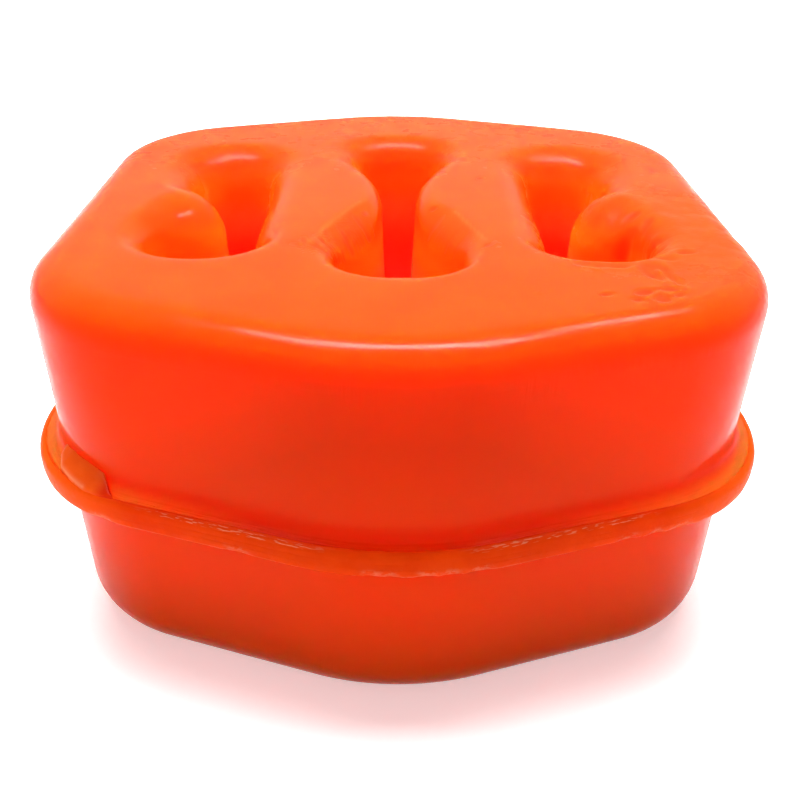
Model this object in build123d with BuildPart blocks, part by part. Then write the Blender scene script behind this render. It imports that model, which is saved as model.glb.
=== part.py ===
from build123d import *

import os
from math import atan, degrees, radians, sqrt, tan

# Exhaust hanger cushion: a cast polyurethane block with three hook openings.
# Millimetres, +Z up, origin at the middle of the bottom face. X runs across the
# block, Y runs along the hook openings. The wide face is on top.

# Block outline at the parting line: a hexagon with two end walls and four sloping walls
block_width = 70.0        # end wall to end wall
shoulder_depth = 54.8     # sharp corner to sharp corner along an end wall
apex_depth = 78.6         # sharp apex to sharp apex, front to back
corner_radius = 16.0
apex_radius = 27.5

# Heights and draft
block_height = 40.0
parting_height = 20.0
wall_draft = 2.4          # degrees: the outer walls lean in towards the bottom face
core_draft = 2.4          # degrees: the openings widen from the parting line to both faces
top_edge_radius = 3.8
bottom_edge_radius = 4.6

# Hook openings, as they are at the parting line: rod lobes joined by a neck between humps
core_shift = 0.7          # the openings stand this far behind the middle of the block
centre_lobe_width = 11.1
centre_length = 43.4
centre_end_radius = 4.6
centre_neck = 2.3         # between the tips of the two humps
centre_hump_radius = 24.8
centre_lip_radius = 2.1
side_lobe_width = 10.3
side_length = 33.6
side_end_radius = 4.9
side_neck = 4.4           # between the tip of the hump and the straight wall
side_hump_radius = 6.4
side_inner_wall = 14.8    # middle of the block to the straight wall of a side opening
side_lip_radius = 3.0
bottom_lip_radius = 1.2

# Band of flash left at the parting line after trimming, with a shoulder up to the wall
rib_reach = 2.3           # out from the wall
rib_height = 2.8
rib_top_radius = 0.8
rib_bottom_radius = 0.4
rib_drop = 1.5            # parting line down to the underside of the band
shoulder_reach = 1.4
shoulder_rise = 0.8
shoulder_slope = 52.0     # degrees from upright

# Stub of the pouring gate, on the band at the front left corner
gate_direction = 227.0    # seen from the middle of the corner's curve, in degrees from +X
gate_length = 11.0        # along the band
gate_reach = 1.9
gate_rise = 1.6           # above the band
gate_edge_radius = 0.5

# Worked out from the sizes above
half_width = block_width / 2
half_shoulder = shoulder_depth / 2
half_apex = apex_depth / 2
upper_height = block_height - parting_height
rib_bottom = parting_height - rib_drop
rib_top = rib_bottom + rib_height

wall_slope = degrees(atan((half_apex - half_shoulder) / half_width))
corner_run = corner_radius / tan(radians(90 + wall_slope) / 2)
corner_middle = Vector(corner_radius - half_width, corner_run - half_shoulder)
gate_middle = corner_middle + Vector(corner_radius, 0).rotate(Axis.Z, gate_direction)

parting_plane = Plane.XY.offset(parting_height)


def block_outline(plane, reach=0.0):
    """The rounded hexagon on a plane, grown outwards by reach."""
    with BuildSketch(plane) as outline:
        with BuildLine():
            Polyline(
                (half_width, -half_shoulder), (half_width, half_shoulder), (0, half_apex),
                (-half_width, half_shoulder), (-half_width, -half_shoulder), (0, -half_apex),
                close=True,
            )
        make_face()
        ends = outline.vertices().group_by(Axis.X)
        fillet(ends[0] + ends[-1], corner_radius)
        by_depth = outline.vertices().group_by(Axis.Y)
        fillet(by_depth[0] + by_depth[-1], apex_radius)
        if reach > 0:
            offset(amount=reach)
    return outline.sketch


def opening_outline(plane, middle, width, length, end_radius, hump_radius, humps):
    """A rounded slot with humps that stand in from its long walls.

    humps holds, for each hump, the X of its tip and the way it grows, 1 for +X.
    Where a hump leaves the wall, it flares out on the radius of the rod lobe.
    """
    straight = length / 2 - end_radius
    with BuildSketch(plane) as opening:
        with Locations((middle, core_shift)):
            RectangleRounded(width, length, end_radius)
        for tip, side in humps:
            wall_gap = side * (middle - tip) + width / 2 - hump_radius
            with Locations((tip + side * hump_radius, core_shift)):
                Circle(hump_radius, mode=Mode.SUBTRACT)
        root = sqrt(hump_radius**2 - wall_gap**2)
        hump_roots = opening.vertices().filter_by(
            lambda v: abs(abs(v.Y - core_shift) - root) < 0.01
        )
        flare_room = (straight**2 - hump_radius**2 + wall_gap**2) / (2 * (hump_radius + wall_gap))
        fillet(hump_roots, min(width / 2, 0.95 * flare_room))
    return opening.sketch


def hook_openings(plane):
    """The middle opening, with two humps, and the mirrored pair with one hump each."""
    tip = centre_neck / 2
    outlines = [opening_outline(
        plane, 0, centre_lobe_width, centre_length, centre_end_radius,
        centre_hump_radius, [(tip, 1), (-tip, -1)],
    )]
    middle = side_inner_wall + side_lobe_width / 2
    tip = side_inner_wall + side_neck
    for side in (-1, 1):
        outlines.append(opening_outline(
            plane, side * middle, side_lobe_width, side_length, side_end_radius,
            side_hump_radius, [(side * tip, side)],
        ))
    return outlines


def lip_edges(face, middle_ones):
    """Edges of the openings in a face: the middle opening's, or the side ones'."""
    wires = [w for w in face.inner_wires() if middle_ones == (abs(w.bounding_box().center().X) < 1)]
    return [edge for wire in wires for edge in wire.edges()]


def drafted(outline, height, lean):
    """Walls from the parting line up, or down, to a height, leaning out by lean degrees as they rise."""
    with BuildPart() as walls:
        add(outline)
        extrude(amount=height)
        draft(walls.faces().filter_by(Axis.Z, reverse=True), parting_plane, -lean)
    return walls.part


# Block above the parting line, with the wide face and its soft lips
with BuildPart() as upper_block:
    add(drafted(block_outline(parting_plane), upper_height, wall_draft))
    for opening in hook_openings(parting_plane):
        add(drafted(opening, upper_height, core_draft), mode=Mode.SUBTRACT)
    fillet(upper_block.faces().sort_by(Axis.Z)[-1].outer_wire().edges(), top_edge_radius)
    fillet(lip_edges(upper_block.faces().sort_by(Axis.Z)[-1], True), centre_lip_radius)
    fillet(lip_edges(upper_block.faces().sort_by(Axis.Z)[-1], False), side_lip_radius)

# Block below the parting line
with BuildPart() as lower_block:
    add(drafted(block_outline(parting_plane), -parting_height, wall_draft))
    for opening in hook_openings(parting_plane):
        add(drafted(opening, -parting_height, -core_draft), mode=Mode.SUBTRACT)
    fillet(lower_block.faces().sort_by(Axis.Z)[0].outer_wire().edges(), bottom_edge_radius)
    for middle_ones in (True, False):
        bottom_face = lower_block.faces().sort_by(Axis.Z)[0]
        fillet(lip_edges(bottom_face, middle_ones), bottom_lip_radius)

# The block's outer walls alone, to shape what sits against them
with BuildPart() as wall_core:
    add(drafted(block_outline(parting_plane), upper_height, wall_draft))
    add(drafted(block_outline(parting_plane), -parting_height, wall_draft))

# Band of flash round the parting line
with BuildPart() as parting_rib:
    add(block_outline(Plane.XY.offset(rib_bottom), rib_reach))
    extrude(amount=rib_height)
    fillet(parting_rib.faces().sort_by(Axis.Z)[-1].edges(), rib_top_radius)
    fillet(parting_rib.faces().sort_by(Axis.Z)[0].edges(), rib_bottom_radius)
    add(block_outline(Plane.XY.offset(rib_top), shoulder_reach))
    extrude(amount=shoulder_rise, taper=shoulder_slope)
    add(wall_core.part, mode=Mode.SUBTRACT)

# Stub of the gate: a pad in the corner between the band and the wall
with BuildPart() as gate_stub:
    with BuildSketch(Plane.XY.offset(rib_top - rib_top_radius)):
        add(block_outline(Plane.XY, gate_reach))
        with Locations(Location(gate_middle, (0, 0, gate_direction))):
            Rectangle(corner_radius, gate_length, mode=Mode.INTERSECT)
    extrude(amount=rib_top_radius + gate_rise)
    fillet(gate_stub.faces().sort_by(Axis.Z)[-1].edges(), gate_edge_radius)
    add(wall_core.part, mode=Mode.SUBTRACT)
    add(parting_rib.part, mode=Mode.SUBTRACT)

pieces = {
    "upper_block": upper_block,
    "lower_block": lower_block,
    "parting_rib": parting_rib,
    "gate_stub": gate_stub,
}
os.makedirs("parts", exist_ok=True)
for name, piece in pieces.items():
    piece.part.label = name
    export_step(piece.part, f"parts/{name}.step")
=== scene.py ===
import math

import bmesh
import bpy
import numpy as np
from mathutils import Matrix, Vector


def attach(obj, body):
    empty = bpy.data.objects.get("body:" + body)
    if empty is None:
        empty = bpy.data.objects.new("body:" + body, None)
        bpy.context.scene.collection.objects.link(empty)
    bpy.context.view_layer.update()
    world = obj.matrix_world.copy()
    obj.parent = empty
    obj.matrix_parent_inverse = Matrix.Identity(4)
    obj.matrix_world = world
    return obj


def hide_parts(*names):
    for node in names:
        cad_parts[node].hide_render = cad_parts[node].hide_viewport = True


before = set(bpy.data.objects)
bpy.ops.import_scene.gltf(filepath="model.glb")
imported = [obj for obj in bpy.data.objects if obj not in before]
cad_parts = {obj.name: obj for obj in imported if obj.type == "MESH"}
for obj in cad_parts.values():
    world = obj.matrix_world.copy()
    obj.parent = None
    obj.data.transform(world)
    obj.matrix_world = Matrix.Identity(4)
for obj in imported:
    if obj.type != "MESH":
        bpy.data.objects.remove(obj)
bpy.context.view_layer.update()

print("stage: frame loaded,", len(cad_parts), "nodes")

# the casting, in metres
block = {
    "halfWidth": 0.0350,
    "halfShoulder": 0.0274,  # sharp corner from the middle, along an end wall
    "halfApex": 0.0393,  # sharp apex from the middle
    "cornerRadius": 0.0160,
    "apexRadius": 0.0275,
    "partingHeight": 0.0200,
    "height": 0.0400,
    "wallDraft": math.radians(2.4),
    "coreDraft": math.radians(2.4),
    "topEdgeRadius": 0.0038,
    "bottomEdgeRadius": 0.0046,
    # the skin swells behind the flash band, with a hollow shoulder above
    "swellReach": 0.0019,
    "swellMiddle": -0.000085,  # up from the parting line
    "swellHalf": 0.001215,  # half its height
    "shoulder": 0.0015,
    "underside": 0.0001,
    "endRise": 0.00006,  # higher at the two ends, level with the band
    "endSpan": (0.018, 0.028),  # from the middle, where that starts and is full
    # the mesh
    "meshGrain": 0.00066,
    "settleTurns": 6,  # times that the points are drawn onto the skin
    "evenTurns": (1, 2, 3),  # the turns that also even them out
    "evenShare": 0.6,
    "leastSlope": 0.2,
}

# hook openings, as they are at the parting line
openings = {
    "shift": 0.0007,
    "centre": {"middle": 0.0, "width": 0.0111, "length": 0.0434, "endRadius": 0.0046,
               "humpRadius": 0.0248, "humps": [(0.00115, 1), (-0.00115, -1)], "lip": 0.0021},
    "left": {"middle": -0.01995, "width": 0.0103, "length": 0.0336, "endRadius": 0.0049,
             "humpRadius": 0.0064, "humps": [(-0.0192, -1)], "lip": 0.0030},
    "right": {"middle": 0.01995, "width": 0.0103, "length": 0.0336, "endRadius": 0.0049,
              "humpRadius": 0.0064, "humps": [(0.0192, 1)], "lip": 0.0030},
    "bottomLip": 0.0012,
    "flareShare": 0.95,  # of the room that a hump leaves for its flare
    # stretches of a mouth that the mould made rounder than the lip
    "noseSoftness": 0.0028,  # noses of the side humps
    "noseInset": 0.0030,
    "noseReach": 0.0060,
    "backSoftness": -0.0002,  # back lobes of the side openings
    "flankSoftness": 0.0018,  # front flanks of the middle humps
    "flankPlace": (0.0048, -0.0085),
    "flankReach": (0.0036, 0.0055),
    # how far the mouth draws in from the outline, and between which places that fades in
    "drawRise": (0.0, 0.010),  # up from the parting line
    "backDraw": 0.0019,
    "backSpan": (0.0030, 0.0130),
    "centreDraw": 0.0014,
    "centreSpan": (0.008, 0.018),
    "wallDraw": {"left": 0.0011, "right": 0.0016},
    "wallSpan": (0.0200, 0.0150),
    "wallStart": (-0.0150, -0.0080),
}

# wear that the skin carries
wear = {
    # x, y, half length, half width, turn in degrees, depth
    "chips": [
        (0.0277, -0.0166, 0.00084, 0.00046, 8, 0.00021), (0.0186, -0.0199, 0.00190, 0.00069, -4, 0.00019),
        (0.0208, -0.0201, 0.00090, 0.00057, 10, 0.00016), (0.0233, -0.0204, 0.00101, 0.00080, -50, 0.00020),
        (0.0232, -0.0222, 0.00134, 0.00057, -62, 0.00019), (0.0246, -0.0212, 0.00038, 0.00127, 8, 0.00021),
        (0.0248, -0.0232, 0.00038, 0.00138, 22, 0.00021), (0.0240, -0.0256, 0.00101, 0.00032, 4, 0.00021),
        (0.0216, -0.0262, 0.00095, 0.00057, 30, 0.00021), (0.0229, -0.0276, 0.00067, 0.00069, 0, 0.00021),
        (0.0245, -0.0268, 0.00067, 0.00039, 30, 0.00015), (0.0206, -0.0279, 0.00067, 0.00039, -20, 0.00012),
        (0.0182, -0.0268, 0.00067, 0.00034, 15, 0.00016), (0.0254, -0.0181, 0.00090, 0.00057, -30, 0.00014),
        (0.0238, -0.0055, 0.00123, 0.00052, -30, 0.00016), (0.0252, -0.0040, 0.00078, 0.00052, 20, 0.00016),
        (0.0262, -0.0066, 0.00090, 0.00046, 50, 0.00014), (0.0243, -0.0090, 0.00146, 0.00041, -18, 0.00016),
        (0.0263, -0.0108, 0.00101, 0.00052, -50, 0.00014), (0.0256, -0.0138, 0.00090, 0.00052, 30, 0.00018),
        (0.0096, 0.0064, 0.00034, 0.00028, 0, 0.00016), (0.0122, -0.0265, 0.00034, 0.00028, 0, -0.00014),
        (-0.0037, -0.0043, 0.00038, 0.00030, 0, 0.00018), (0.0037, -0.0035, 0.00038, 0.00030, 0, 0.00018),
        (-0.0023, 0.0175, 0.00034, 0.00030, 0, 0.00014), (-0.0200, 0.0128, 0.00040, 0.00034, 0, 0.00012),
    ],
    "chipRise": (0.0335, 0.0345),  # heights between which the chips come in
    "chipRim": (0.25, 1.7, 0.45),  # share of the depth, place and width of the raised rim
    # fine pale lines beside the middle opening
    "scratches": [
        [(-0.0089, -0.0147), (-0.0079, -0.0115), (-0.0070, -0.0088), (-0.0058, -0.0057), (-0.0043, -0.0023)],
        [(0.0060, -0.0054), (0.0073, -0.0097), (0.0085, -0.0137)],
    ],
    "scratchWidth": 0.00022,
    "scratchHeight": 0.0375,  # they stay above this
    "scuff": (0.0262, -0.0110, 0.0185),  # middle and reach of the worn patch
    "scuffEdge": 0.6,
    "scuffRise": (0.0325, 0.0365),
    # ripples on the front flanks of the middle humps
    "rippleSides": ((-1, 1.0), (1, 0.35)),
    "rippleStep": 0.00095,  # from one ripple to the next, along the flank
    "rippleHeight": 0.000208,
    "rippleInset": 0.0012,
    "rippleHalf": 0.0022,
    "rippleBow": 0.55,
    "rippleEdge": 0.95,
    "rippleSharp": 0.7,
    "rippleUneven": (0.6, 31),
    "rippleSpan": (0.20, 0.30, 0.76, 0.86),  # round the flank: start, full, fade and end
    "rippleRise": (0.0365, 0.0371),
    # boxes of finer mesh: x, x, y, y, lowest z
    "fine": [(0.011, 0.034, -0.032, 0.005, 0.0345), (-0.010, 0.010, -0.024, 0.001, 0.034)],
}

# how the marks that the materials read fade over the skin
fades = {
    "chipDepth": 0.00013,
    "outerWall": 0.0035,
    "swell": 0.0011,
    "shelf": 0.0025,
    "innerWall": 0.0016,
}
hookNames = ("centre", "left", "right")


def share(value, start, end):
    # 0 at start, 1 at end
    return np.clip((value - start) / (end - start), 0, 1)


def eased(value, start, end):
    part = share(value, start, end)
    return part * part * (3 - 2 * part)


def outlineCorner():
    # the sloping wall's direction and distance, and the middles of both round corners
    run, rise = block["halfWidth"], block["halfApex"] - block["halfShoulder"]
    span = math.hypot(run, rise)
    nx, ny = rise / span, run / span
    reach = ny * block["halfApex"]
    r, big = block["cornerRadius"], block["apexRadius"]
    cx = block["halfWidth"] - r
    return nx, ny, reach, cx, (reach - r - nx * cx) / ny, (reach - big) / ny


def outlineDistance(x, y):
    # distance to the rounded hexagon at the parting line, positive outside
    x, y = np.abs(x), np.abs(y)
    nx, ny, reach, cx, cy, apexY = outlineCorner()
    flat = np.maximum(x - block["halfWidth"], nx * x + ny * y - reach)
    corner = np.hypot(x - cx, y - cy) - block["cornerRadius"]
    apex = np.hypot(x, y - apexY) - block["apexRadius"]
    inCorner = (y > cy) & ((x - cx) * ny > (y - cy) * nx)
    inApex = (y > apexY) & (x * ny < (y - apexY) * nx)
    return np.where(inCorner, corner, np.where(inApex, apex, flat))


def openingDistance(x, y, form):
    # distance to an opening's outline at the parting line, negative inside the opening
    cx, cy = form["middle"], openings["shift"]
    half, deep, r = form["width"] / 2, form["length"] / 2, form["endRadius"]
    best = np.full(x.shape, 1.0)

    def take(found, inside):
        np.copyto(best, found, where=inside & (np.abs(found) < np.abs(best)))

    sides = {side: tip for tip, side in form["humps"]}
    for end in (-1, 1):
        take(end * (y - cy) - deep, np.abs(x - cx) <= half - r)
        for side in (-1, 1):
            ax, ay = cx + side * (half - r), cy + end * (deep - r)
            take(np.hypot(x - ax, y - ay) - r, (side * (x - ax) >= 0) & (end * (y - ay) >= 0))
    for side in (-1, 1):
        wall = side * (x - cx) - half
        if side not in sides:
            take(wall, np.abs(y - cy) <= deep - r)
            continue
        hump = form["humpRadius"]
        hx = sides[side] + side * hump
        gap = side * (cx - sides[side]) + half - hump
        room = ((deep - r)**2 - hump**2 + gap**2) / (2 * (hump + gap))
        flare = min(half, openings["flareShare"] * room)
        fx = cx + side * (half - flare)
        rise = math.sqrt((hump + flare)**2 - (hx - fx)**2)
        for end in (-1, 1):
            fy = cy + end * rise
            take(wall, (end * (y - fy) >= 0) & (end * (y - cy) <= deep - r))
            turn = side * (x - fx) * rise + end * (y - fy) * abs(hx - fx)
            take(np.hypot(x - fx, y - fy) - flare, (end * (y - fy) <= 0) & (turn >= 0))
        steep = np.abs(y - cy) * abs(hx - fx) <= side * (hx - x) * rise
        take(hump - np.hypot(x - hx, y - cy), steep)
    return best


def roundJoin(a, b, radius):
    # what two solids share, with its edge rounded
    u, v = np.maximum(a + radius, 0), np.maximum(b + radius, 0)
    return np.minimum(np.maximum(a, b), -radius) + np.hypot(u, v)


def hollowJoin(a, b, radius):
    # two solids together, with the corner between them filled
    u, v = np.maximum(radius - a, 0), np.maximum(radius - b, 0)
    return np.maximum(np.minimum(a, b), radius) - np.hypot(u, v)


def mouth(name, x, y, up):
    # an opening's lip radius, and how far its mouth draws in
    lip = openings[name]["lip"]
    risen = eased(up, *openings["drawRise"])
    if name == "centre":
        (px, py), (rx, ry) = openings["flankPlace"], openings["flankReach"]
        away = ((np.abs(x) - px) / rx)**2 + ((y - py) / ry)**2
        draw = openings["centreDraw"] * eased(y, *openings["centreSpan"])
        return lip + openings["flankSoftness"] * np.exp(-away**2) + draw, draw * risen
    tip, side = openings[name]["humps"][0]
    away = np.hypot(x - (tip + side * openings["noseInset"]), y - openings["shift"])
    nose = np.exp(-(away / openings["noseReach"])**4)
    back = eased(y, *openings["backSpan"]) * (1 - nose)
    wall = eased(side * x, *openings["wallSpan"]) * eased(y, *openings["wallStart"])
    draw = np.maximum(back * openings["backDraw"], wall * openings["wallDraw"][name])
    softness = openings["noseSoftness"] * nose + openings["backSoftness"] * back
    return lip + softness + draw, draw * risen


def castingField(p):
    # signed distance to the casting's skin, without its flash
    x, y, z = p[:, 0], p[:, 1], p[:, 2]
    up = z - block["partingHeight"]
    outline = outlineDistance(x, y)
    wall = outline - up * math.tan(block["wallDraft"])
    beyond = up - block["swellMiddle"]
    rise = eased(np.abs(x), *block["endSpan"]) * block["endRise"] / 2
    swell = np.maximum(outline - block["swellReach"], np.abs(beyond - rise) - block["swellHalf"] - rise)
    wall = hollowJoin(wall, swell, np.where(beyond > 0, block["shoulder"], block["underside"]))
    field = roundJoin(wall, z - block["height"], block["topEdgeRadius"])
    field = roundJoin(field, -z, block["bottomEdgeRadius"])
    lean = np.abs(up) * math.tan(block["coreDraft"])
    for name in hookNames:
        lip, draw = mouth(name, x, y, up)
        void = openingDistance(x, y, openings[name]) - lean + draw
        field = roundJoin(field, -void, np.where(up > 0, lip, openings["bottomLip"]))
    return field


def fieldAndSlope(p, step=1e-5):
    value = castingField(p)
    slope = np.empty(p.shape)
    for k in range(3):
        moved = p.copy()
        moved[:, k] += step
        slope[:, k] = (castingField(moved) - value) / step
    return value, slope


def newObject(name, mesh):
    made = bpy.data.objects.new(name, mesh)
    bpy.context.scene.collection.objects.link(made)
    return made


def bakeModifiers(obj):
    bpy.context.view_layer.update()
    seen = obj.evaluated_get(bpy.context.evaluated_depsgraph_get())
    mesh = bpy.data.meshes.new_from_object(seen)
    obj.modifiers.clear()
    old, obj.data = obj.data, mesh
    bpy.data.meshes.remove(old)
    mesh.name = obj.name
    return obj


def points(mesh):
    co = np.empty(len(mesh.vertices) * 3)
    mesh.vertices.foreach_get("co", co)
    return co.reshape(-1, 3)


def keepOnPoints(mesh, name, values):
    mesh.attributes.new(name, "FLOAT", "POINT").data.foreach_set("value", values.astype(np.float32))


def wearOffset(p):
    # how far the skin is pushed out, from chips and wear ripples on the top
    x, y, z = p[:, 0], p[:, 1], p[:, 2]
    out = np.zeros(len(p))
    upper = share(z, *wear["chipRise"])
    rimHighlightShare, rimPlace, rimHighlightWidth = wear["chipRim"]
    for cx, cy, long, short, turn, depth in wear["chips"]:
        a = math.radians(turn)
        u = ((x - cx) * math.cos(a) + (y - cy) * math.sin(a)) / long
        v = ((y - cy) * math.cos(a) - (x - cx) * math.sin(a)) / short
        away = u * u + v * v
        out -= depth * np.exp(-away**1.5) * upper
        out += rimHighlightShare * depth * np.exp(-((np.sqrt(away) - rimPlace) / rimHighlightWidth)**2) * upper
    hump = openings["centre"]["humpRadius"]
    start, full, fade, end = wear["rippleSpan"]
    shake, beats = wear["rippleUneven"]
    for side, strength in wear["rippleSides"]:
        hx = side * (openings["centre"]["humps"][0][0] + hump)
        dx, dy = side * (hx - x), y - openings["shift"]
        around, reach = np.arctan2(-dy, dx), np.hypot(dx, dy)
        bow = (reach - (hump - wear["rippleInset"])) / wear["rippleHalf"]
        phase = around * hump / wear["rippleStep"] + wear["rippleBow"] * bow**2
        phase += shake * np.sin(around * beats)
        band = np.exp(-(bow / wear["rippleEdge"])**4) * share(around, start, full)
        band *= share(around, end, fade) * share(z, *wear["rippleRise"])
        crest = np.abs(np.sin(phase * math.pi))**wear["rippleSharp"]
        out -= strength * wear["rippleHeight"] * band * (1 - crest)
    return out


def lineDistance(x, y, line):
    best = np.full(x.shape, 1.0)
    for (ax, ay), (bx, by) in zip(line, line[1:]):
        along = ((x - ax) * (bx - ax) + (y - ay) * (by - ay)) / ((bx - ax)**2 + (by - ay)**2)
        along = np.clip(along, 0, 1)
        best = np.minimum(best, np.hypot(x - ax - along * (bx - ax), y - ay - along * (by - ay)))
    return best


def evenMesh():
    # an even mesh over both CAD halves, finer where the skin is worn
    work = bmesh.new()
    for nodeName in ("upper_block", "lower_block", "parting_rib"):
        work.from_mesh(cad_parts[nodeName].data)
    bmesh.ops.remove_doubles(work, verts=work.verts, dist=1e-6)
    mesh = bpy.data.meshes.new("castBlock")
    work.to_mesh(mesh)
    made = newObject("castBlock", mesh)
    remesh = made.modifiers.new("evenSkin", "REMESH")
    remesh.mode = "VOXEL"
    remesh.voxel_size = block["meshGrain"]
    bakeModifiers(made)
    work.clear()
    work.from_mesh(made.data)
    chosen = []
    for edge in work.edges:
        ends = [corner.co for corner in edge.verts]
        for x0, x1, y0, y1, z0 in wear["fine"]:
            if all(x0 < c.x < x1 and y0 < c.y < y1 and c.z > z0 for c in ends):
                chosen.append(edge)
                break
    bmesh.ops.subdivide_edges(work, edges=chosen, cuts=1, use_grid_fill=True)
    work.to_mesh(made.data)
    work.free()
    return made


def drawOntoSkin(mesh, p):
    edges = np.empty(len(mesh.edges) * 2, int)
    mesh.edges.foreach_get("vertices", edges)
    edges = edges.reshape(-1, 2)
    ways = np.bincount(edges.ravel(), minlength=len(p))[:, None]
    for turn in range(block["settleTurns"]):
        value, slope = fieldAndSlope(p)
        p -= slope * (value / np.maximum((slope**2).sum(1), block["leastSlope"]))[:, None]
        if turn not in block["evenTurns"]:
            continue
        mean = np.zeros(p.shape)
        for k in range(3):
            mean[:, k] = np.bincount(edges[:, 0], p[edges[:, 1], k], len(p))
            mean[:, k] += np.bincount(edges[:, 1], p[edges[:, 0], k], len(p))
        unit = slope / np.linalg.norm(slope, axis=1)[:, None]
        drift = (mean / ways - p) * block["evenShare"]
        p += drift - unit * (drift * unit).sum(1)[:, None]
    slope = fieldAndSlope(p)[1]
    return slope / np.linalg.norm(slope, axis=1)[:, None]


def castSkin():
    made = evenMesh()
    mesh = made.data
    p = points(mesh)
    unit = drawOntoSkin(mesh, p)
    x, y, up = p[:, 0], p[:, 1], p[:, 2] - block["partingHeight"]
    onWall = outlineDistance(x, y) - up * math.tan(block["wallDraft"])
    offset = wearOffset(p)
    p += unit * offset[:, None]
    mesh.vertices.foreach_set("co", p.ravel())

    lean = np.abs(up) * math.tan(block["coreDraft"])
    voids = [np.abs(openingDistance(x, y, openings[name]) - lean + mouth(name, x, y, up)[1])
             for name in hookNames]
    scratch = np.min([lineDistance(x, y, line) for line in wear["scratches"]], axis=0)
    cx, cy, reach = wear["scuff"]
    worn = eased(1 - np.hypot(x - cx, y - cy) / reach, 0, wear["scuffEdge"])
    kept = {
        "chip": share(-offset, 0, fades["chipDepth"]),
        "outerWall": np.clip(1 + onWall / fades["outerWall"], 0, 1),
        "swell": eased(onWall, 0, fades["swell"]),
        "shelf": np.clip(onWall, 0, fades["shelf"]),
        "scratch": np.exp(-(scratch / wear["scratchWidth"])**2) * (p[:, 2] > wear["scratchHeight"]),
        "worn": worn * eased(p[:, 2], *wear["scuffRise"]),
        "innerWall": np.clip(1 - np.min(voids, axis=0) / fades["innerWall"], 0, 1),
    }
    for name, values in kept.items():
        keepOnPoints(mesh, name, values)
    mesh.shade_smooth()
    mesh.update()
    return made


castBlock = castSkin()
print("stage: skin of the casting,", len(castBlock.data.vertices), "points")

# node helpers
def newTree(name, kind, inputs, outputs):
    tree = bpy.data.node_groups.new(name, kind)
    for label, socketKind, value in inputs:
        socket = tree.interface.new_socket(label, in_out="INPUT", socket_type=socketKind)
        if value is not None:
            socket.default_value = value
    for label, socketKind in outputs:
        tree.interface.new_socket(label, in_out="OUTPUT", socket_type=socketKind)
    return tree, tree.nodes.new("NodeGroupInput").outputs, tree.nodes.new("NodeGroupOutput").inputs


def addNode(tree, kind, links=None, **settings):
    made = tree.nodes.new(kind)
    for key, value in settings.items():
        setattr(made, key, value)
    for slot, value in (links or {}).items():
        if isinstance(value, bpy.types.NodeSocket):
            tree.links.new(value, made.inputs[slot])
        else:
            made.inputs[slot].default_value = value
    return made


def maths(tree, operation, *values, clamp=False):
    links = dict(enumerate(values))
    return addNode(tree, "ShaderNodeMath", links, operation=operation, use_clamp=clamp).outputs[0]


def product(tree, first, *others):
    for other in others:
        first = maths(tree, "MULTIPLY", first, other)
    return first


def vectors(tree, operation, *values):
    return addNode(tree, "ShaderNodeVectorMath", dict(enumerate(values)), operation=operation).outputs[0]


def scaled(tree, vector, amount):
    return addNode(tree, "ShaderNodeVectorMath", {0: vector, 3: amount}, operation="SCALE").outputs[0]


def ramp(tree, value, start, end, top=1.0, kind="LINEAR"):
    # 0 at start, top at end, held beyond both
    links = {"Value": value, 1: start, 2: end, 4: top}
    return addNode(tree, "ShaderNodeMapRange", links, interpolation_type=kind).outputs[0]


def window(tree, value, start, full, fade, end):
    # 0 outside start and end, 1 between full and fade
    rise = ramp(tree, value, start, full, kind="SMOOTHSTEP")
    return product(tree, rise, ramp(tree, value, end, fade, kind="SMOOTHSTEP"))


def noise(tree, place, size, detail=2.0, shift=0.0):
    # noise from 0 to 1 whose features are about size metres across
    moved = vectors(tree, "ADD", place, (shift, shift * 1.7, -shift))
    sized = scaled(tree, moved, maths(tree, "DIVIDE", 1.0, size))
    return addNode(tree, "ShaderNodeTexNoise", {"Vector": sized, "Scale": 1.0, "Detail": detail}).outputs[0]


def unevenness(tree, place, size, detail=2.0, shift=0.0, level=0.5):
    return maths(tree, "SUBTRACT", noise(tree, place, size, detail, shift), level)


def rowNoise(tree, first, firstSize, second, secondSize, detail):
    # noise whose features are stretched into rows
    row = addNode(tree, "ShaderNodeCombineXYZ", {
        0: maths(tree, "DIVIDE", first, firstSize), 1: maths(tree, "DIVIDE", second, secondSize)})
    return addNode(tree, "ShaderNodeTexNoise", {"Vector": row.outputs[0], "Scale": 1.0, "Detail": detail}).outputs[0]


def mixed(tree, part, first, second):
    return addNode(tree, "ShaderNodeMix", {0: part, 6: first, 7: second}, data_type="RGBA").outputs[2]


def stored(tree, name):
    return addNode(tree, "ShaderNodeAttribute", attribute_name=name).outputs["Fac"]


def setInputs(node, values):
    for label, value in values.items():
        node.inputs[label].default_value = value


def shapeTree(name, sizes):
    # geometry in and out, with named sizes and a material
    floats = [(label, "NodeSocketFloat", value) for label, value in sizes.items()]
    return newTree(name, "GeometryNodeTree",
                   [("Geometry", "NodeSocketGeometry", None), *floats, ("Finish", "NodeSocketMaterial", None)],
                   [("Geometry", "NodeSocketGeometry")])


def finishTree(tree, given, result, geometry, offset):
    # move the points, then end in a plain mesh with its material
    moved = addNode(tree, "GeometryNodeSetPosition", {"Geometry": geometry, "Offset": offset})
    plain = addNode(tree, "GeometryNodeRealizeInstances", {"Geometry": moved.outputs[0]})
    done = addNode(tree, "GeometryNodeSetMaterial", {"Geometry": plain.outputs[0], "Material": given["Finish"]})
    tree.links.new(done.outputs[0], result["Geometry"])
    return tree


def useTree(obj, tree, values):
    modifier = obj.modifiers.new(tree.name, "NODES")
    modifier.node_group = tree
    for item in tree.interface.items_tree:
        if item.item_type == "SOCKET" and item.in_out == "INPUT" and item.name in values:
            modifier[item.identifier] = values[item.name]
    return bakeModifiers(obj)


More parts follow.
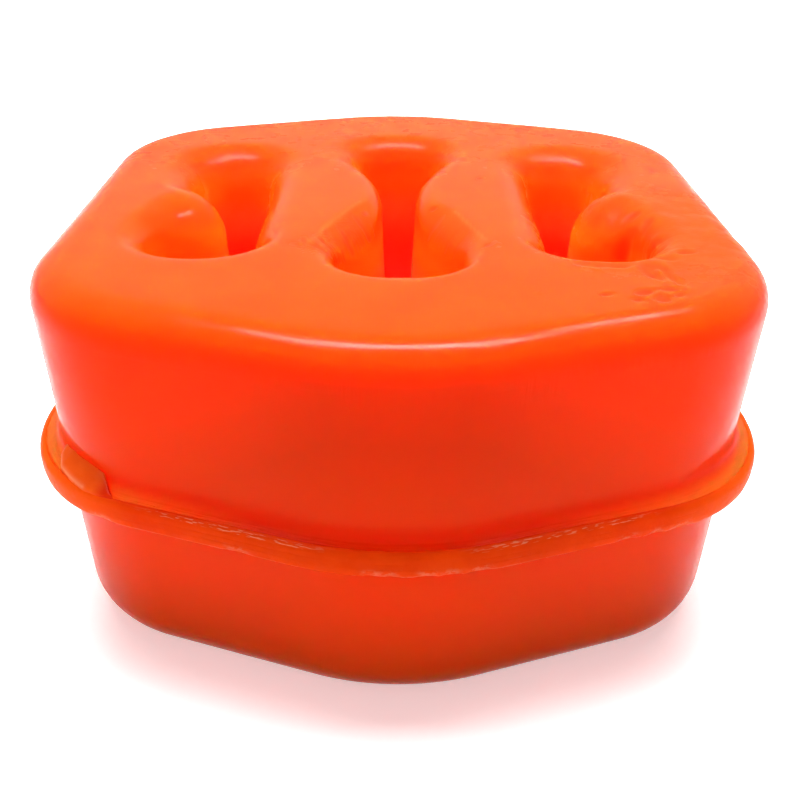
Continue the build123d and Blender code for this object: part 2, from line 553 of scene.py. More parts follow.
def onPoints(tree, name):
    return addNode(tree, "GeometryNodeInputNamedAttribute", {"Name": name}, data_type="FLOAT").outputs[0]


# slow unevenness of a poured and demoulded skin
waves = {
    "sizes": {"Wave Size": 0.0075, "Wave Height": 0.00010, "Ripple Size": 0.0022, "Ripple Height": 0.000030,
              "Wrinkle Size": 0.0026, "Wrinkle Height": 0.00030},
    "wrinkleLevel": 0.62,
    "restSpan": (0.0002, 0.004),  # the resting face stays flat
    "seatHeight": 0.0208,  # and so does the seat of the band
    "seatSpan": (0.0027, 0.0045),
    "topSpan": (0.0384, 0.0396),  # the top face only goes inwards
    "topShare": 1.3,
}


def castingWaves():
    tree, given, result = shapeTree("castingWaves", waves["sizes"])
    place = addNode(tree, "GeometryNodeInputPosition").outputs[0]
    normal = addNode(tree, "GeometryNodeInputNormal").outputs[0]
    slow = unevenness(tree, place, given["Wave Size"], 1.0)
    fast = unevenness(tree, place, given["Ripple Size"], 1.0, 0.3)
    push = product(tree, slow, given["Wave Height"])
    push = maths(tree, "MULTIPLY_ADD", fast, given["Ripple Height"], push)
    # wrinkles where the skin is worn
    fold = unevenness(tree, place, given["Wrinkle Size"], 3.0, 0.9, waves["wrinkleLevel"])
    fold = product(tree, maths(tree, "MINIMUM", fold, 0.0), onPoints(tree, "worn"))
    push = maths(tree, "MULTIPLY_ADD", fold, given["Wrinkle Height"], push)
    high = addNode(tree, "ShaderNodeSeparateXYZ", {0: place}).outputs["Z"]
    clear = ramp(tree, high, *waves["restSpan"], kind="SMOOTHSTEP")
    seat = maths(tree, "ABSOLUTE", maths(tree, "SUBTRACT", high, waves["seatHeight"]))
    clear = product(tree, clear, ramp(tree, seat, *waves["seatSpan"], kind="SMOOTHSTEP"))
    inward = product(tree, given["Wave Height"], waves["topShare"])
    inward = product(tree, ramp(tree, high, *waves["topSpan"]), inward)
    push = product(tree, maths(tree, "SUBTRACT", push, inward), clear)
    return finishTree(tree, given, result, given["Geometry"], scaled(tree, normal, push))


# band of flash at the parting line, swept round the outline
flash = {
    "sizes": {"Bottom": 0.0185, "Spacing": 0.00026, "Ragged Size": 0.0016, "Ragged Depth": 0.00012,
              "Edge Grain": 0.00045, "Edge Depth": 0.00008, "Wave Size": 0.006, "Wave Height": 0.00008},
    "cornerSpread": 0.00030,  # further out round the corners
    "pathSpacing": 0.0005,
    "cornerSteps": 60, "apexSteps": 40,
    # section, from the seat round by the underside: out from the wall's outline, up from the underside
    "section": [(-0.00040, 0.00010), (0.00155, 0.00000), (0.00196, 0.00006), (0.00214, 0.00024),
                (0.00228, 0.00095), (0.00230, 0.00165), (0.00226, 0.00215), (0.00214, 0.00246),
                (0.00193, 0.00267), (0.00172, 0.00272), (0.00160, 0.00268), (0.00150, 0.00256),
                (0.00120, 0.00200), (0.00020, 0.00100)],
    "sectionPoints": 72,
    # which of those points are the lower corner, the upper edge and the ends of the outer face
    "lowCorner": 3, "topEdge": 8, "outerStart": 2, "outerFade": 9, "outerEnd": 11,
    "lowWidth": 0.030, "topWidth": 0.06,  # how far round the section they reach
    "outerFoot": 0.02,  # where the outer face's waves set in
    "raggedLevel": 0.58, "raggedGain": 3.0, "nickGain": 2.6, "biteDraw": -0.45,
    # where the trimming knife bit: x, y, half length
    "nicks": [(-0.0278, -0.0317, 0.0009), (-0.0143, -0.0368, 0.0010), (-0.0022, -0.0396, 0.0007),
              (-0.0006, -0.0396, 0.0005), (0.0024, -0.0385, 0.0007), (0.0046, -0.0395, 0.0006),
              (0.0073, -0.0386, 0.0008), (0.0212, -0.0349, 0.0009), (0.0240, -0.0338, 0.0006),
              (0.0265, -0.0326, 0.0010)],
}


def alongLine(line):
    # how far along the line each of its points is
    return np.concatenate([[0], np.cumsum(np.hypot(*np.diff(line, axis=0).T))])


def outlinePath():
    # the outline at the parting line as even points, counter-clockwise
    nx, ny, _, cx, cy, apexY = outlineCorner()
    r, big = block["cornerRadius"], block["apexRadius"]
    turn = math.atan2(ny, nx)
    quarter = []
    for a in np.linspace(0, turn, flash["cornerSteps"]):
        out = r + flash["cornerSpread"] * math.sin(math.pi * a / turn)**2
        quarter.append((cx + out * math.cos(a), cy + out * math.sin(a)))
    for a in np.linspace(turn, math.pi / 2, flash["apexSteps"]):
        quarter.append((big * math.cos(a), apexY + big * math.sin(a)))
    quarter = np.array(quarter)
    ring = np.vstack([quarter, quarter[::-1] * (-1, 1), -quarter, quarter[::-1] * (1, -1)])
    ring = np.vstack([ring, ring[:1]])
    gone = alongLine(ring)
    at = np.arange(0, gone[-1] - flash["pathSpacing"] / 2, flash["pathSpacing"])
    return np.column_stack([np.interp(at, gone, ring[:, 0]), np.interp(at, gone, ring[:, 1])])


def sectionMarks():
    # the band's section as shares: of the way round, of the reach and of the height
    section = np.array(flash["section"])
    closed = np.vstack([section, section[:1]])
    gone = alongLine(closed)
    low, high = section.min(0), section.max(0)
    return np.column_stack([gone / gone[-1], (closed - low) / (high - low)])


def followMarks(node, marks, column):
    # a curve that runs straight from mark to mark
    curve = node.mapping.curves[0]
    curve.points[0].location = (marks[0][0], marks[0][column])
    curve.points[1].location = (marks[-1][0], marks[-1][column])
    for mark in marks[1:-1]:
        curve.points.new(mark[0], mark[column])
    for point in curve.points:
        point.handle_type = "VECTOR"
    node.mapping.update()
    return node.outputs[0]


def flashBandTree(reach, seat, height):
    sizes = {"Reach": reach, "Seat": seat, "Height": height, **flash["sizes"]}
    tree, given, result = shapeTree("flashBand", sizes)
    line = addNode(tree, "GeometryNodeMeshToCurve", {"Mesh": given["Geometry"]})
    even = addNode(tree, "GeometryNodeResampleCurve",
                   {"Curve": line.outputs[0], "Length": given["Spacing"]}, mode="LENGTH")
    level = addNode(tree, "GeometryNodeSetCurveNormal", {"Curve": even.outputs[0]}, mode="Z_UP")

    count = flash["sectionPoints"]
    ring = addNode(tree, "GeometryNodeCurvePrimitiveCircle", {"Resolution": count, "Radius": 1.0})
    part = maths(tree, "DIVIDE", addNode(tree, "GeometryNodeInputIndex").outputs[0], float(count))
    marks = sectionMarks()
    across = followMarks(addNode(tree, "ShaderNodeFloatCurve", {"Value": part}), marks, 1)
    upward = followMarks(addNode(tree, "ShaderNodeFloatCurve", {"Value": part}), marks, 2)
    outward = product(tree, across, maths(tree, "ADD", given["Reach"], given["Seat"]))
    outward = maths(tree, "SUBTRACT", outward, given["Seat"])
    rise = maths(tree, "MULTIPLY_ADD", upward, given["Height"], given["Bottom"])
    place = addNode(tree, "ShaderNodeCombineXYZ", {0: outward, 1: product(tree, rise, -1.0)})
    section = addNode(tree, "GeometryNodeSetPosition", {"Geometry": ring.outputs[0], "Position": place.outputs[0]})
    marked = addNode(tree, "GeometryNodeStoreNamedAttribute",
                     {"Geometry": section.outputs[0], "Name": "around", "Value": part},
                     data_type="FLOAT", domain="POINT")
    swept = addNode(tree, "GeometryNodeCurveToMesh", {"Curve": level.outputs[0], "Profile Curve": marked.outputs[0]})

    spot = addNode(tree, "GeometryNodeInputPosition").outputs[0]
    flat = vectors(tree, "MULTIPLY", spot, (1.0, 1.0, 0.0))
    outDirection = vectors(tree, "NORMALIZE", flat)
    around = onPoints(tree, "around")

    def placeOf(key):
        return float(marks[flash[key]][0])

    def nearMark(key, width):
        away = maths(tree, "DIVIDE", maths(tree, "SUBTRACT", around, placeOf(key)), width)
        return maths(tree, "EXPONENT", product(tree, away, away, -1.0))

    # the knife tore the lower corner
    ragged = unevenness(tree, flat, given["Ragged Size"], 3.0, level=flash["raggedLevel"])
    ragged = product(tree, maths(tree, "MAXIMUM", ragged, 0.0), flash["raggedGain"])
    bite = maths(tree, "MULTIPLY_ADD", onPoints(tree, "nick"), flash["nickGain"], ragged)
    bite = product(tree, bite, nearMark("lowCorner", flash["lowWidth"]), given["Ragged Depth"])
    lift = addNode(tree, "ShaderNodeCombineXYZ", {2: bite}).outputs[0]
    draw = scaled(tree, outDirection, product(tree, bite, flash["biteDraw"]))
    # fine grain along the upper edge
    grain = unevenness(tree, spot, given["Edge Grain"], 2.0, 0.2)
    grain = product(tree, grain, nearMark("topEdge", flash["topWidth"]), given["Edge Depth"])
    shake = scaled(tree, outDirection, grain)
    # slow waves of the outer face
    outer = ramp(tree, around, flash["outerFoot"], placeOf("outerStart"))
    outer = product(tree, outer, ramp(tree, around, placeOf("outerEnd"), placeOf("outerFade")))
    slow = product(tree, noise(tree, flat, given["Wave Size"], 1.0, 0.5), given["Wave Height"])
    sway = scaled(tree, outDirection, product(tree, slow, outer, -1.0))
    total = vectors(tree, "ADD", vectors(tree, "ADD", lift, draw), vectors(tree, "ADD", shake, sway))
    return finishTree(tree, given, result, swept.outputs[0], total)


def turnOutwards(mesh):
    work = bmesh.new()
    work.from_mesh(mesh)
    bmesh.ops.remove_doubles(work, verts=work.verts, dist=1e-7)
    bmesh.ops.recalc_face_normals(work, faces=work.faces)
    if work.calc_volume(signed=True) < 0:
        bmesh.ops.reverse_faces(work, faces=work.faces)
    work.to_mesh(mesh)
    work.free()
    mesh.shade_smooth()


def partingRib(finish):
    path = outlinePath()
    mesh = bpy.data.meshes.new("partingRib")
    count = len(path)
    mesh.from_pydata([(x, y, 0) for x, y in path], [(k, (k + 1) % count) for k in range(count)], [])
    nick = np.zeros(count)
    for x, y, half in flash["nicks"]:
        nearest = path[np.hypot(path[:, 0] - x, path[:, 1] - y).argmin()]
        away = np.hypot(path[:, 0] - nearest[0], path[:, 1] - nearest[1])
        nick = np.maximum(nick, np.exp(-(away / half)**4))
    keepOnPoints(mesh, "nick", nick)
    made = newObject("partingRib", mesh)
    section = np.array(flash["section"])
    (seat, low), (reach, high) = section.min(0), section.max(0)
    sizes = {**flash["sizes"], "Reach": reach, "Seat": -seat, "Height": high - low}
    useTree(made, flashBandTree(reach, -seat, high - low), {**sizes, "Finish": finish})
    turnOutwards(made.data)
    return made


# stub of the pouring gate, a pad between the band and the wall
gate = {
    "corner": (-0.0190, -0.01594),  # middle of the corner's curve
    "wallRadius": 0.0160,
    "low": 0.0205,
    "edge": 0.00018,
    "edgeAngle": math.radians(40),
    "meshGrain": 0.00014,
    "softening": 6,
    # degrees round the corner, reach from the wall, height
    "rim": [(212.5, 0.0001, 0.0226), (216.0, 0.0011, 0.0222), (221.0, 0.0018, 0.0219), (228.0, 0.0020, 0.0217),
            (234.0, 0.0021, 0.02155), (240.0, 0.0020, 0.0215), (246.0, 0.0018, 0.0215), (241.0, 0.0008, 0.0221),
            (235.5, -0.0004, 0.0227), (228.0, -0.0004, 0.0231), (220.0, -0.0004, 0.0231), (213.0, -0.0004, 0.0228)],
    "rimHighlightRuns": 4,  # runs of the rim that carry a painted highlight
    "rimSteps": 12,
    "rimHighlightWidth": 0.00026,
    "shadedEnd": (237, 243),  # degrees round the corner; painted shade on the pad's end that faces away from the light
}


def gatePlace(turn, reach, height):
    a, r = math.radians(turn), gate["wallRadius"] + reach
    return gate["corner"][0] + r * math.cos(a), gate["corner"][1] + r * math.sin(a), height


def gateStub():
    work = bmesh.new()
    floorRim = [work.verts.new(gatePlace(turn, reach, gate["low"])) for turn, reach, _ in gate["rim"]]
    topRim = [work.verts.new(gatePlace(*mark)) for mark in gate["rim"]]
    work.faces.new(floorRim[::-1])
    count = len(gate["rim"])
    for k in range(count):
        j = (k + 1) % count
        work.faces.new((floorRim[k], floorRim[j], topRim[j], topRim[k]))
    # the top runs in strips from the wall to the outer rim
    outer, inner = topRim[:8], topRim[:7:-1]
    for k in range(7):
        work.faces.new((outer[k], outer[k + 1], inner[min(k // 2, 3)]))
        if k % 2 == 1 and k < 6:
            work.faces.new((outer[k + 1], inner[k // 2 + 1], inner[k // 2]))
    bmesh.ops.recalc_face_normals(work, faces=work.faces)
    mesh = bpy.data.meshes.new("gateStub")
    work.to_mesh(mesh)
    work.free()
    made = newObject("gateStub", mesh)
    bevel = made.modifiers.new("edge", "BEVEL")
    bevel.width, bevel.segments = gate["edge"], 3
    bevel.limit_method, bevel.angle_limit = "ANGLE", gate["edgeAngle"]
    remesh = made.modifiers.new("evenSkin", "REMESH")
    remesh.mode, remesh.voxel_size = "VOXEL", gate["meshGrain"]
    made.modifiers.new("soften", "SMOOTH").iterations = gate["softening"]
    bakeModifiers(made)
    made.data.shade_smooth()

    rim = np.array(gate["rim"][:gate["rimHighlightRuns"] + 1])
    at = np.concatenate([run + np.linspace(0, 1, gate["rimSteps"]) for run in range(gate["rimHighlightRuns"])])
    line = [gatePlace(*[np.interp(t, range(len(rim)), rim[:, k]) for k in range(3)]) for t in at]
    p = points(made.data)
    away = np.min([np.linalg.norm(p - np.array(spot), axis=1) for spot in line], axis=0)
    # painted highlight along the pad's outer rim, kept as the rim attribute
    keepOnPoints(made.data, "rim", np.exp(-(away / gate["rimHighlightWidth"])**2))
    turn = np.degrees(np.arctan2(p[:, 1] - gate["corner"][1], p[:, 0] - gate["corner"][0])) % 360
    # painted shade on the pad's right end, kept as the end attribute
    keepOnPoints(made.data, "end", eased(turn, *gate["shadedEnd"]))
    return made


# looks of the cast block, the flash and the gate stub
looks = {
    "cast": {"Light Color": (0.999, 0.058, 0.0012, 1), "Deep Color": (0.998, 0.050, 0.0010, 1),
             "Mottle Size": 0.0065, "Smooth": 0.16, "Dull": 0.23, "Grain Size": 0.00020},
    "flash": {"Light Color": (0.930, 0.074, 0.0022, 1), "Deep Color": (0.880, 0.060, 0.0016, 1),
              "Mottle Size": 0.0030, "Smooth": 0.20, "Dull": 0.36, "Grain Size": 0.00022},
    # painted light: the gate's colours are lighter than the flash's, for the pad that the wall shades
    "gate": {"Light Color": (0.975, 0.100, 0.0080, 1), "Deep Color": (0.920, 0.078, 0.0050, 1),
             "Mottle Size": 0.0022, "Smooth": 0.24, "Dull": 0.40, "Grain Size": 0.00022},
    "flashThrough": 0.42, "gateThrough": 0.12,  # share of light that passes through
    "flashEndLight": 1.0, "gateEndLight": 0.4,  # share of painted light at the two ends
    # noise levels between which clouds and dull patches come in
    "cloudSpan": (0.35, 0.68), "dullSpan": (0.38, 0.66),
    "dullShare": 0.45,  # of the clouds' size
    "ior": 1.45,
    "endsPaintedLit": (0.990, 0.175, 0.0100, 1),  # painted light: the band and its ledge are painted a lighter orange at the two ends
}


def urethaneFinish():
    # colour in soft clouds, roughness in patches, and a fine grain
    tree, given, result = newTree("urethaneFinish", "ShaderNodeTree", [
        ("Place", "NodeSocketVector", None),
        ("Light Color", "NodeSocketColor", (1, 0.1, 0.01, 1)), ("Deep Color", "NodeSocketColor", (0.9, 0.06, 0.01, 1)),
        ("Mottle Size", "NodeSocketFloat", 0.006), ("Smooth", "NodeSocketFloat", 0.2),
        ("Dull", "NodeSocketFloat", 0.3), ("Grain Size", "NodeSocketFloat", 0.0002),
    ], [("Color", "NodeSocketColor"), ("Roughness", "NodeSocketFloat"), ("Grain", "NodeSocketFloat")])
    place = given["Place"]
    cloud = ramp(tree, noise(tree, place, given["Mottle Size"], 3.0), *looks["cloudSpan"])
    patch = noise(tree, place, product(tree, given["Mottle Size"], looks["dullShare"]), 4.0, 0.4)
    dull = ramp(tree, patch, *looks["dullSpan"])
    rough = addNode(tree, "ShaderNodeMix", {0: dull, 2: given["Smooth"], 3: given["Dull"]}, data_type="FLOAT")
    tree.links.new(mixed(tree, cloud, given["Deep Color"], given["Light Color"]), result["Color"])
    tree.links.new(rough.outputs[0], result["Roughness"])
    tree.links.new(noise(tree, place, given["Grain Size"], 2.0, 0.1), result["Grain"])
    return tree


urethaneTree = urethaneFinish()


def newMaterial(name, look):
    made = bpy.data.materials.new(name)
    made.use_nodes = True
    tree = made.node_tree
    place = addNode(tree, "ShaderNodeTexCoord").outputs["Object"]
    group = addNode(tree, "ShaderNodeGroup", node_tree=urethaneTree)
    tree.links.new(place, group.inputs["Place"])
    setInputs(group, look)
    bsdf = tree.nodes["Principled BSDF"]
    setInputs(bsdf, {"IOR": looks["ior"]})
    return made, tree, bsdf, group.outputs, place


def setRelief(tree, bsdf, reliefs):
    # bump from pairs of a pattern and its height in metres
    height = product(tree, *reliefs[0])
    for pattern, depth in reliefs[1:]:
        height = maths(tree, "MULTIPLY_ADD", pattern, depth, height)
    bump = addNode(tree, "ShaderNodeBump", {"Height": height, "Strength": 1.0, "Distance": 1.0})
    tree.links.new(bump.outputs[0], bsdf.inputs["Normal"])
    return bump.outputs[0]


castLooks = {
    # heights where the upright brush marks below the top edge start, are full, fade and end
    "strokeSpan": (0.0330, 0.0350, 0.0364, 0.0372),
    "strokeSize": 0.00042, "strokeSquash": 0.10, "strokeDepth": 0.000060,
    "toolLine": 0.0359, "toolLineHalf": 0.00022, "toolLineDepth": -0.0000105,
    "patchSize": 0.009, "patchSpan": (0.42, 0.60),
    # worn patch round the right hook opening
    "rubSize": 0.0012, "rubSpan": (0.44, 0.62), "pitSize": 0.0007, "pitDepth": 0.000090,
    "wornRough": 0.12, "rubRough": 0.10, "chipRough": 0.25,
    "backRough": 0.10, "backSpan": (0.0, 0.016),  # the back of the top is duller
    "grainDepth": 0.0000020,
    # layers of flash on the ledge, along the band
    "layerSize": 0.00016, "layerLength": 0.0025, "layerDepth": 0.000070,
    "layerSpan": (0.0007, 0.0010, 0.0021, 0.0024),
    # colours, most of them painted shade, light or glow, and between which places they fade
    # painted shade: the outer walls get a darker red than the block, less dark at the sides and towards the band
    "wallShadeColor": (0.420, 0.026, 0.0010, 1), "wallSpan": (0.75, 1.0),
    "sideWallShadeColor": (0.680, 0.036, 0.0014, 1), "flankSpan": (0.006, 0.026),
    "bandLessShade": 0.6, "bandSpan": (0.031, 0.023),  # the painted shade on the walls lightens towards the band
    # painted light: the painted wall colour turns full red towards the bottom, where little light reaches
    "lowWallPaintedColor": (0.999, 0.032, 0.0010, 1), "lowSpan": (0.022, 0.003),
    # painted shade on the ledge at the front
    "frontLedgeShade": (0.500, 0.030, 0.0010, 1), "ledgeSpan": (0.012, 0.029),
    # painted glow inside the hook openings
    "openingPaintedGlow": (0.999, 0.185, 0.0050, 1), "mouthSpan": (0.0390, 0.0345),
    "deepPaintedGlow": (0.999, 0.160, 0.0900, 1), "deepSpan": (0.034, 0.022),
    # painted shade in the chips and ripple creases
    "chipShadeColor": (0.999, 0.036, 0.0008, 1), "chipShadeShare": 0.65,
    "scratchColor": (0.999, 0.115, 0.0200, 1), "scratchShare": 0.5,
    "gloss": 0.038,
    "glowReach": 0.080,  # how far light travels inside
    "glowTint": (1.0, 0.05, 0.03),
}


def castUrethane():
    made, tree, bsdf, finish, place = newMaterial("castUrethane", looks["cast"])
    own = castLooks
    x, y, high = addNode(tree, "ShaderNodeSeparateXYZ", {0: place}).outputs
    side = maths(tree, "ABSOLUTE", x)
    wall = ramp(tree, stored(tree, "outerWall"), *own["wallSpan"])
    worn = stored(tree, "worn")
    chip = stored(tree, "chip")
    rub = product(tree, worn, ramp(tree, noise(tree, place, own["rubSize"], 4.0, 0.9), *own["rubSpan"]))

    rough = maths(tree, "MULTIPLY_ADD", worn, own["wornRough"], finish["Roughness"])
    rough = maths(tree, "MULTIPLY_ADD", rub, own["rubRough"], rough)
    rough = maths(tree, "MULTIPLY_ADD", chip, own["chipRough"], rough)
    rough = maths(tree, "ADD", rough, ramp(tree, y, *own["backSpan"], own["backRough"]))
    tree.links.new(rough, bsdf.inputs["Roughness"])

    # painted shade on the outer walls, lighter at the sides and towards the band
    flank = maths(tree, "MAXIMUM", ramp(tree, side, *own["flankSpan"]),
                  ramp(tree, high, *own["bandSpan"], own["bandLessShade"]))
    shade = mixed(tree, flank, own["wallShadeColor"], own["sideWallShadeColor"])
    # painted light: full red again near the bottom of the walls
    shade = mixed(tree, ramp(tree, high, *own["lowSpan"]), shade, own["lowWallPaintedColor"])
    shade = mixed(tree, wall, finish["Color"], shade)
    # painted shade on the ledge at the front, painted light on it at the two ends
    ledge = mixed(tree, ramp(tree, side, *own["ledgeSpan"]), own["frontLedgeShade"], looks["endsPaintedLit"])
    shade = mixed(tree, stored(tree, "swell"), shade, ledge)
    # painted glow: the openings are painted a lighter orange inside, deeper down more
    inside = product(tree, stored(tree, "innerWall"), ramp(tree, high, *own["mouthSpan"], kind="SMOOTHSTEP"))
    glow = mixed(tree, ramp(tree, high, *own["deepSpan"]), own["openingPaintedGlow"], own["deepPaintedGlow"])
    shade = mixed(tree, inside, shade, glow)
    # painted shade in the chips and ripple creases
    shade = mixed(tree, product(tree, chip, own["chipShadeShare"]), shade, own["chipShadeColor"])
    shade = mixed(tree, product(tree, stored(tree, "scratch"), own["scratchShare"]), shade, own["scratchColor"])
    tree.links.new(shade, bsdf.inputs["Base Color"])

    squashed = vectors(tree, "MULTIPLY", place, (1.0, 1.0, own["strokeSquash"]))
    strokes = product(tree, unevenness(tree, squashed, own["strokeSize"]),
                      window(tree, high, *own["strokeSpan"]), wall,
                      ramp(tree, noise(tree, place, own["patchSize"], 1.0, 0.7), *own["patchSpan"]))
    away = maths(tree, "ABSOLUTE", maths(tree, "SUBTRACT", high, own["toolLine"]))
    line = product(tree, ramp(tree, away, own["toolLineHalf"], 0.0), wall)
    shelf = stored(tree, "shelf")
    layers = product(tree, rowNoise(tree, shelf, own["layerSize"], x, own["layerLength"], 2.0),
                     window(tree, shelf, *own["layerSpan"]))
    pits = product(tree, rub, unevenness(tree, place, own["pitSize"], 3.0, 1.1))
    setRelief(tree, bsdf, [
        (finish["Grain"], own["grainDepth"]), (layers, own["layerDepth"]), (strokes, own["strokeDepth"]),
        (line, own["toolLineDepth"]), (pits, own["pitDepth"]),
    ])
    setInputs(bsdf, {"Specular IOR Level": own["gloss"], "Subsurface Weight": 1.0,
                     "Subsurface Radius": own["glowTint"], "Subsurface Scale": own["glowReach"]})
    return made


# spans round the band's section are shares of its way round
flashLooks = {
    "tornAndGlintColor": (0.96, 0.33, 0.16, 1),
    "tornSize": 0.0006, "tornEdge": (0.46, 0.54), "tornShare": 0.55, "tornSpan": (0.22, 0.27, 0.34, 0.42),
    "patchSize": 0.0075, "patchSpan": (0.44, 0.60),
    "shearedShare": 0.32, "shearedSpan": (0.262, 0.276, 0.296, 0.316),
    # painted highlight: bright specks in rows along the upper edge
    "paintedGlintLength": 0.0009, "paintedGlintWidth": 0.016, "paintedGlintEdge": (0.54, 0.62),
    "paintedGlintSpan": (0.535, 0.550, 0.588, 0.600), "paintedGlintSides": (0.005, 0.009, 0.019, 0.025),
    "rimHighlightShare": 0.6,
    "gateEndShade": (0.820, 0.030, 0.0020, 1),
    "endSpan": (0.024, 0.034),
    "grainDepth": 0.000012,
    "tearSize": 0.0009, "tearDepth": 0.00006,
    # seams between the layers of flash
    "seams": (0.402, 0.468), "seamHalf": 0.010, "seamDepth": -0.00003,
    "gloss": 0.024,
}


def flashUrethane(name, look, through, flare):
    made, tree, bsdf, finish, place = newMaterial(name, look)
    own = flashLooks
    x = addNode(tree, "ShaderNodeSeparateXYZ", {0: place}).outputs["X"]
    side = maths(tree, "ABSOLUTE", x)
    around = stored(tree, "around")
    patches = ramp(tree, noise(tree, place, own["patchSize"], 2.0, 0.8), *own["patchSpan"])
    nicked = product(tree, ramp(tree, noise(tree, place, own["tornSize"], 2.0, 1.3), *own["tornEdge"]),
                     stored(tree, "nick"), window(tree, around, *own["tornSpan"]), own["tornShare"])
    sheared = product(tree, patches, window(tree, around, *own["shearedSpan"]), own["shearedShare"])
    # painted highlight: sparkle specks along the band's upper edge
    paintedGlints = rowNoise(tree, x, own["paintedGlintLength"], around, own["paintedGlintWidth"], 1.0)
    paintedGlints = product(tree, ramp(tree, paintedGlints, *own["paintedGlintEdge"]), window(tree, around, *own["paintedGlintSpan"]),
                     window(tree, side, *own["paintedGlintSides"]))
    pale = maths(tree, "MAXIMUM", maths(tree, "MAXIMUM", nicked, sheared), paintedGlints)
    # painted highlight on the gate's rim
    pale = maths(tree, "MAXIMUM", pale, product(tree, stored(tree, "rim"), own["rimHighlightShare"]))

    # painted light: the band is painted a lighter orange towards its two ends
    body = mixed(tree, ramp(tree, side, *own["endSpan"], flare), finish["Color"], looks["endsPaintedLit"])
    # painted shade on the gate's right end
    body = mixed(tree, stored(tree, "end"), body, own["gateEndShade"])
    # pale torn and sheared marks, together with painted highlights on the upper edge and the gate's rim
    tree.links.new(mixed(tree, pale, body, own["tornAndGlintColor"]), bsdf.inputs["Base Color"])
    tree.links.new(finish["Roughness"], bsdf.inputs["Roughness"])

    reliefs = [(finish["Grain"], own["grainDepth"]),
               (unevenness(tree, place, own["tearSize"], 3.0, 0.6), own["tearDepth"])]
    for mark in own["seams"]:
        away = maths(tree, "ABSOLUTE", maths(tree, "SUBTRACT", around, mark))
        reliefs.append((product(tree, ramp(tree, away, own["seamHalf"], 0.0), patches), own["seamDepth"]))
    normal = setRelief(tree, bsdf, reliefs)
    setInputs(bsdf, {"Specular IOR Level": own["gloss"]})
    # thin flash lets the glow of the block through
    thin = addNode(tree, "ShaderNodeBsdfTranslucent", {"Color": body, "Normal": normal})
    both = addNode(tree, "ShaderNodeMixShader", {0: through, 1: bsdf.outputs[0], 2: thin.outputs[0]})
    tree.links.new(both.outputs[0], tree.nodes["Material Output"].inputs["Surface"])
    return made


castLook = castUrethane()
flashLook = flashUrethane("flashUrethane", looks["flash"], looks["flashThrough"], looks["flashEndLight"])
gateLook = flashUrethane("gateUrethane", looks["gate"], looks["gateThrough"], looks["gateEndLight"])
useTree(castBlock, castingWaves(), {**waves["sizes"], "Finish": castLook})
castBlock.data.shade_smooth()
print("stage: casting,", len(castBlock.data.polygons), "faces")
ribPiece = partingRib(flashLook)
print("stage: band of flash,", len(ribPiece.data.polygons), "faces")
gatePiece = gateStub()
gatePiece.data.materials.append(gateLook)
print("stage: gate stub,", len(gatePiece.data.polygons), "faces")

for piece, nodeNames, slotName in (
    (castBlock, ("upper_block", "lower_block"), "urethane"),
    (ribPiece, ("parting_rib",), "flash"),
    (gatePiece, ("gate_stub",), "flash"),
):
    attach(piece, "root")
    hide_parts(*nodeNames)

# floor, lamps and the white surroundings
studio = {
    "aim": (0, 0, 0.02),
    "top": {"power": 2.65, "size": (0.30, 0.20), "place": (0.0, 0.050, 0.34)},
    "front": {"power": 0.42, "size": (0.30, 0.20), "place": (-0.12, -0.42, 0.09)},
    "strip": {"power": 5.3, "size": (0.27, 0.045), "place": (0.0, 0.022, 0.345)},
    "spark": {"power": 0.6, "size": (0.05, 0.05), "place": (0.165, 0.105, 0.345)},
    "worldFill": 0.22,  # on the object; what is seen past it is white
    "floorHalf": 1.5,
    "floorShade": 0.95, "floorRoughness": 0.9, "floorGloss": 0.1,
    "floorGlow": 0.42, "glowSpan": (0.08, 0.30),  # dimmer near the object, for its shadow
    "lens": 43.6, "shift": 0.01116,
    "cameraPlace": (-0.00069, -0.10485, 0.07434),
    "cameraTilt": math.radians(90 - 30.16), "cameraRoll": 0.00787,
}


def areaLamp(name):
    own = studio[name]
    lamp = bpy.data.lights.new(name, "AREA")
    lamp.shape = "RECTANGLE"
    lamp.size, lamp.size_y = own["size"]
    lamp.energy = own["power"]
    place = Vector(own["place"])
    made = newObject(name, lamp)
    made.location = place
    made.rotation_euler = (Vector(studio["aim"]) - place).to_track_quat("-Z", "Y").to_euler()
    return made


for name in ("top", "front"):
    areaLamp(name).visible_glossy = False
for name in ("strip", "spark"):
    areaLamp(name).visible_diffuse = False  # only their reflections show


def seenBy(tree, *rays):
    # 1 for rays of these kinds, 0 for the rest
    path = addNode(tree, "ShaderNodeLightPath").outputs
    found = path[rays[0]]
    for ray in rays[1:]:
        found = maths(tree, "ADD", found, path[ray], clamp=True)
    return found


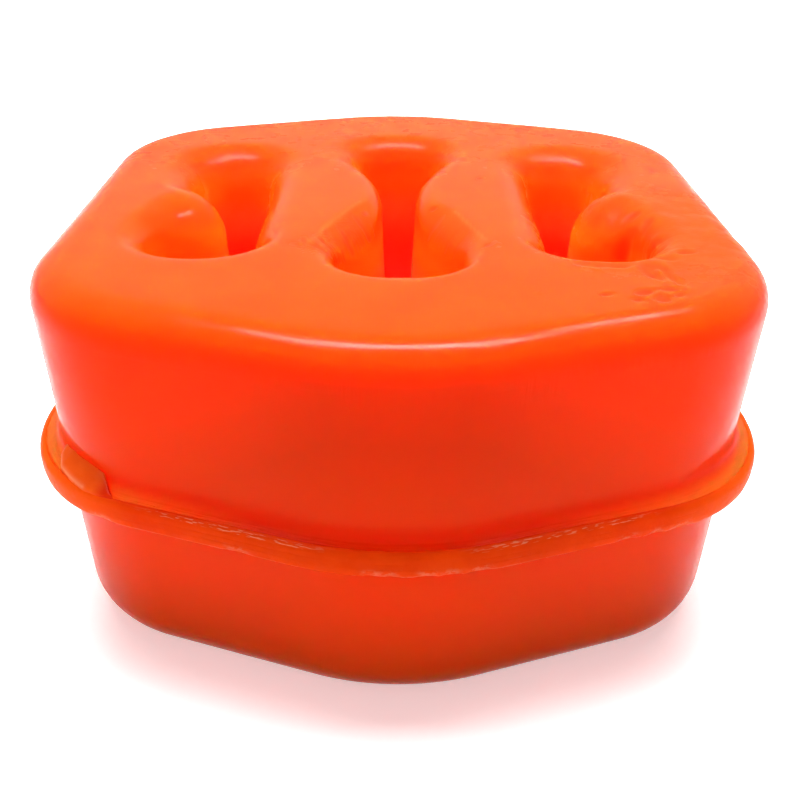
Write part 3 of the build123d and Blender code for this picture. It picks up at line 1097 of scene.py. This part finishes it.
world = bpy.data.worlds.new("studioWorld")
bpy.context.scene.world = world
world.use_nodes = True
tree = world.node_tree
tree.nodes.clear()
seen = seenBy(tree, "Is Camera Ray", "Is Glossy Ray", "Is Transmission Ray")
level = addNode(tree, "ShaderNodeMapRange", {"Value": seen, "To Min": studio["worldFill"], "To Max": 1.0})
back = addNode(tree, "ShaderNodeBackground", {"Color": (1, 1, 1, 1), "Strength": level.outputs["Result"]})
addNode(tree, "ShaderNodeOutputWorld", {"Surface": back.outputs["Background"]})

half = studio["floorHalf"]
floorMesh = bpy.data.meshes.new("floor")
floorMesh.from_pydata([(-half, -half, 0), (half, -half, 0), (half, half, 0), (-half, half, 0)], [], [(0, 1, 2, 3)])
newObject("floor", floorMesh)
floorLook = bpy.data.materials.new("floorWhite")
floorLook.use_nodes = True
floorMesh.materials.append(floorLook)
tree = floorLook.node_tree
bsdf = tree.nodes["Principled BSDF"]
setInputs(bsdf, {"Base Color": (*[studio["floorShade"]] * 3, 1), "Roughness": studio["floorRoughness"],
                 "Specular IOR Level": studio["floorGloss"], "Emission Color": (1, 1, 1, 1)})
place = addNode(tree, "ShaderNodeTexCoord").outputs["Object"]
away = addNode(tree, "ShaderNodeVectorMath", {0: place}, operation="LENGTH").outputs["Value"]
near, far = studio["glowSpan"]
glow = addNode(tree, "ShaderNodeMapRange", {"Value": away, 1: near, 2: far, 3: studio["floorGlow"], 4: 1.0})
seen = seenBy(tree, "Is Camera Ray", "Is Glossy Ray")
tree.links.new(product(tree, glow.outputs[0], seen), bsdf.inputs["Emission Strength"])

camera = bpy.data.cameras.new("camera")
camera.sensor_width = 36
camera.lens = studio["lens"]
camera.shift_x = studio["shift"]
camera.clip_start = 0.005
holder = newObject("camera", camera)
holder.matrix_world = (
    Matrix.Translation(studio["cameraPlace"])
    @ Matrix.Rotation(studio["cameraTilt"], 4, "X")
    @ Matrix.Rotation(studio["cameraRoll"], 4, "Z")
)
bpy.context.scene.camera = holder
bpy.context.scene.view_settings.view_transform = "Standard"
print("stage: lamps, floor and camera")
